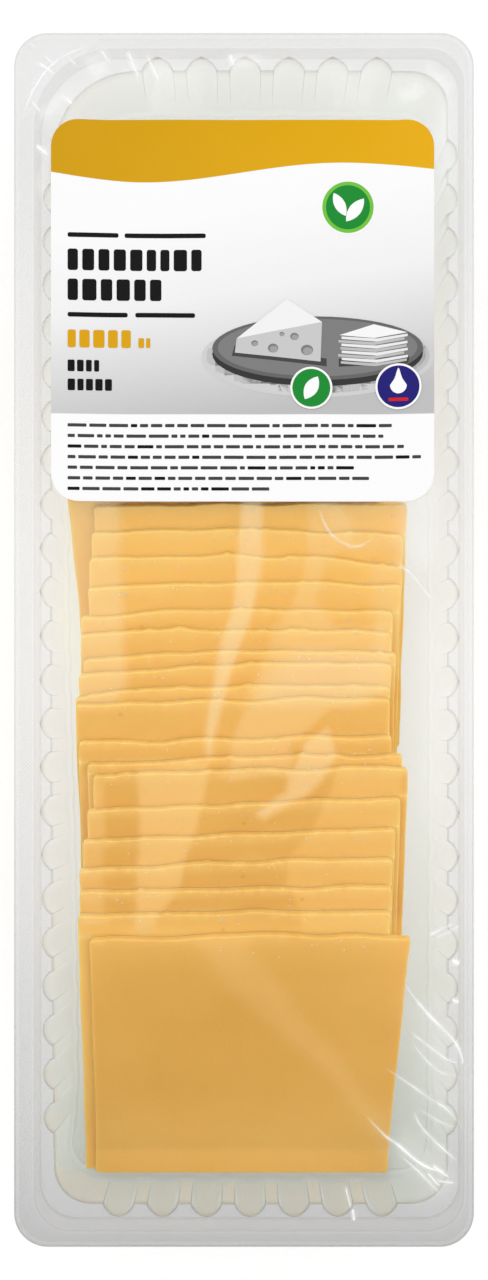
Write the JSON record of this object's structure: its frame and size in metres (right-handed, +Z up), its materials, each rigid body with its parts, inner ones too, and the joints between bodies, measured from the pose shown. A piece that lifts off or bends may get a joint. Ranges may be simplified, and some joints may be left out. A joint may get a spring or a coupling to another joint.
{
  "type": "pack of sliced cheese",
  "caption": "Long sealed pack of shingled yellow cheese slices in a clear fluted tray with a clear top film and a square paper label",
  "frame": {"origin": "under the middle of the flange, in the plane the tray stands on", "axes": "+Z up from the tray's floor to the film, +Y along the pack towards the label and the peel corner, +X across it"},
  "size_m": [0.15, 0.396, 0.0441],
  "materials": {
    "tray_plastic": "clear, glossy",
    "film": "clear, glossy",
    "cheese": "satin, slightly oily",
    "label_paper": "satin print"
  },
  "bodies": {
    "root": {"tray": "tray_plastic", "cheese_slice_01": "cheese", "cheese_slice_02": "cheese", "cheese_slice_03": "cheese", "cheese_slice_04": "cheese", "cheese_slice_05": "cheese", "cheese_slice_06": "cheese", "cheese_slice_07": "cheese", "cheese_slice_08": "cheese", "cheese_slice_09": "cheese", "cheese_slice_10": "cheese", "cheese_slice_11": "cheese", "cheese_slice_12": "cheese", "cheese_slice_13": "cheese", "cheese_slice_14": "cheese", "cheese_slice_15": "cheese", "cheese_slice_16": "cheese", "cheese_slice_17": "cheese", "cheese_slice_18": "cheese", "cheese_slice_19": "cheese", "cheese_slice_20": "cheese", "cheese_slice_21": "cheese", "cheese_slice_22": "cheese", "cheese_slice_23": "cheese", "cheese_slice_24": "cheese", "cheese_slice_25": "cheese", "cheese_slice_26": "cheese", "cheese_slice_27": "cheese", "cheese_slice_28": "cheese", "cheese_slice_29": "cheese", "cheese_slice_30": "cheese", "cheese_slice_31": "cheese", "cheese_slice_32": "cheese", "cheese_slice_33": "cheese", "cheese_slice_34": "cheese", "cheese_slice_35": "cheese", "top_film": "film", "label": "label_paper"}
  },
  "joints": []
}
